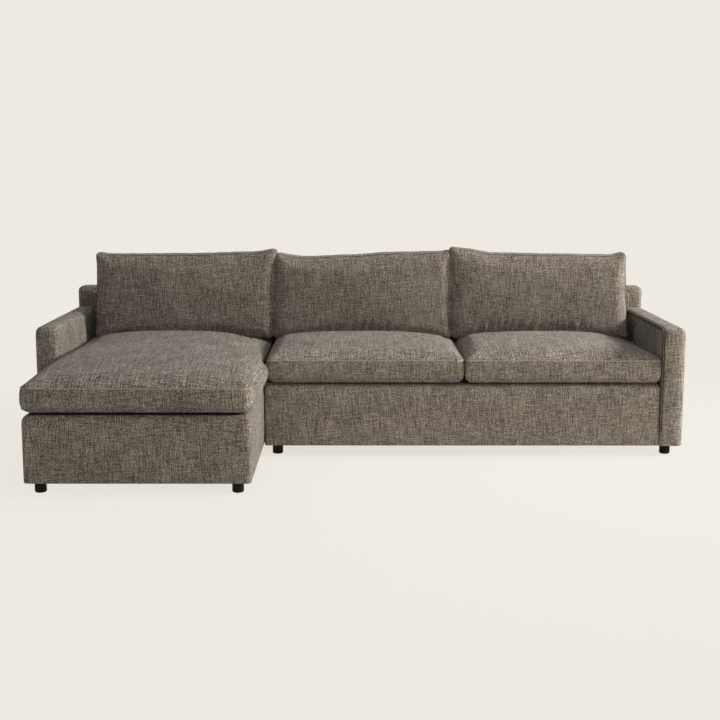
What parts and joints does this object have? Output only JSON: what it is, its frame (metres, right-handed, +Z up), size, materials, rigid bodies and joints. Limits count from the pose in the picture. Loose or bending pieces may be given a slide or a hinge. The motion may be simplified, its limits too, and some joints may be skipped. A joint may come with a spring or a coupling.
{
  "type": "sleeper sectional sofa",
  "caption": "Sectional sofa with a chaise unit, loose seat and back cushions, and a fold-out bed under the seat of the longer unit.",
  "frame": {"origin": "on the floor, under the middle of the whole outline (bounding box bottom centre)", "axes": "+X along the sofa to the sitter's left, which is the right in the front view, +Y to the back of the sofa, +Z up"},
  "size_m": [3.02, 1.709, 0.915],
  "materials": {
    "upholstery": "woven",
    "timber": "sawn",
    "webbing": "woven",
    "dust_cloth": "matt",
    "foot_wood": "satin",
    "steel": "satin",
    "deck_cloth": "woven",
    "ticking": "quilted",
    "leg_plastic": "matt"
  },
  "bodies": {
    "sofa_base": {"chaise_base_frame": "timber", "chaise_webbing": "webbing", "chaise_base_cover": "upholstery", "chaise_dust_cover": "dust_cloth", "chaise_feet": "foot_wood", "chaise_arm_frame": "timber", "chaise_arm_cover": "upholstery", "chaise_back_frame": "timber", "chaise_back_cover": "upholstery", "chaise_inner_back": "upholstery", "sleeper_front_rail": "timber", "sleeper_rail_cover": "upholstery", "sleeper_left_panel": "upholstery", "sleeper_rear_rail": "timber", "sleeper_cross_braces": "timber", "side_box_left": "upholstery", "side_box_right": "upholstery", "side_filler_left": "upholstery", "side_filler_right": "upholstery", "sleeper_dust_cover": "dust_cloth", "sleeper_feet": "foot_wood", "sleeper_arm_frame": "timber", "sleeper_arm_cover": "upholstery", "sleeper_back_frame": "timber", "sleeper_back_cover": "upholstery", "link_plate_front": "steel", "link_plate_rear": "steel", "mounting_plate_left": "steel", "mounting_plate_right": "steel"},
    "front_swing_arms": {"front_swing_arm_left": "steel", "front_swing_arm_right": "steel"},
    "rear_swing_arms": {"rear_swing_arm_left": "steel", "rear_swing_arm_right": "steel"},
    "head_section": {"head_frame": "steel", "head_deck": "deck_cloth", "head_mattress": "ticking", "head_hinge_plate_left": "steel", "head_hinge_plate_right": "steel"},
    "middle_section": {"middle_frame": "steel", "pull_bar": "steel", "middle_deck": "deck_cloth", "middle_mattress": "ticking", "middle_hinge_plate_left": "steel", "middle_hinge_plate_right": "steel"},
    "foot_section": {"foot_frame": "steel", "foot_deck": "deck_cloth", "foot_mattress": "ticking"},
    "near_legs": {"near_leg_left": "steel", "near_leg_right": "steel", "near_leg_tips": "leg_plastic"},
    "far_legs": {"far_leg_left": "steel", "far_leg_right": "steel", "far_leg_tips": "leg_plastic"},
    "left_seat": {"seat_cushion_left": "upholstery"},
    "right_seat": {"seat_cushion_right": "upholstery"},
    "middle_back": {"back_cushion_middle": "upholstery"},
    "right_back": {"back_cushion_right": "upholstery"},
    "chaise_seat": {"chaise_seat_cushion": "upholstery"},
    "chaise_back": {"chaise_back_cushion": "upholstery"}
  },
  "joints": [
    {"name": "bed_pull_out", "type": "hinge", "parent": "sofa_base", "child": "front_swing_arms", "pos_m": [0.4795, 0.0735, 0.2397], "axis": [1, 0, 0], "range_deg": [0, 177.67]},
    {"name": "rear_arm_swing", "type": "hinge", "parent": "sofa_base", "child": "rear_swing_arms", "pos_m": [0.4795, 0.3735, 0.2397], "axis": [1, 0, 0], "range_deg": [0, 177.68]},
    {"name": "head_section_pivot", "type": "hinge", "parent": "front_swing_arms", "child": "head_section", "pos_m": [0.4795, 0.2255, 0.1257], "axis": [1, 0, 0], "range_deg": [-177.68, 0]},
    {"name": "middle_section_unfold", "type": "hinge", "parent": "head_section", "child": "middle_section", "pos_m": [0.4795, -0.0715, 0.2282], "axis": [1, 0, 0], "range_deg": [0, 180.01]},
    {"name": "foot_section_unfold", "type": "hinge", "parent": "middle_section", "child": "foot_section", "pos_m": [0.4795, 0.6165, 0.3397], "axis": [1, 0, 0], "range_deg": [-90.01, 0]},
    {"name": "near_leg_unfold", "type": "hinge", "parent": "middle_section", "child": "near_legs", "pos_m": [0.4795, -0.0005, 0.331], "axis": [1, 0, 0], "range_deg": [0, 90.01]},
    {"name": "far_leg_unfold", "type": "hinge", "parent": "middle_section", "child": "far_legs", "pos_m": [0.4795, 0.5555, 0.331], "axis": [1, 0, 0], "range_deg": [-90.01, 0]},
    {"name": "left_seat_lift_off", "type": "hinge", "parent": "sofa_base", "child": "left_seat", "pos_m": [0.4795, -0.8015, 0.262], "axis": [1, 0, 0], "range_deg": [0, 180.01]},
    {"name": "right_seat_lift_off", "type": "hinge", "parent": "sofa_base", "child": "right_seat", "pos_m": [0.4795, -0.8015, 0.262], "axis": [1, 0, 0], "range_deg": [0, 180.01]},
    {"name": "middle_back_lift_off", "type": "hinge", "parent": "sofa_base", "child": "middle_back", "pos_m": [0.4795, -1.0415, 0.462], "axis": [1, 0, 0], "range_deg": [0, 180.01]},
    {"name": "right_back_lift_off", "type": "hinge", "parent": "sofa_base", "child": "right_back", "pos_m": [0.4795, -1.0415, 0.462], "axis": [1, 0, 0], "range_deg": [0, 180.01]},
    {"name": "chaise_seat_lift", "type": "slide", "parent": "sofa_base", "child": "chaise_seat", "axis": [0, 0, 1], "range_m": [0, 0.6]},
    {"name": "chaise_back_lift", "type": "slide", "parent": "chaise_seat", "child": "chaise_back", "axis": [0, 0, 1], "range_m": [0, 0.5]}
  ],
  "couplings": [
    {"joint": "rear_arm_swing", "follows": "bed_pull_out", "ratio": 1},
    {"joint": "head_section_pivot", "follows": "bed_pull_out", "ratio": -1},
    {"joint": "middle_section_unfold", "follows": "bed_pull_out", "ratio": 1.0131},
    {"joint": "foot_section_unfold", "follows": "bed_pull_out", "ratio": -0.50656},
    {"joint": "near_leg_unfold", "follows": "bed_pull_out", "ratio": 0.50656},
    {"joint": "far_leg_unfold", "follows": "bed_pull_out", "ratio": -0.50656},
    {"joint": "left_seat_lift_off", "follows": "bed_pull_out", "ratio": 1.0131},
    {"joint": "right_seat_lift_off", "follows": "bed_pull_out", "ratio": 1.0131},
    {"joint": "middle_back_lift_off", "follows": "bed_pull_out", "ratio": 1.0131},
    {"joint": "right_back_lift_off", "follows": "bed_pull_out", "ratio": 1.0131}
  ]
}
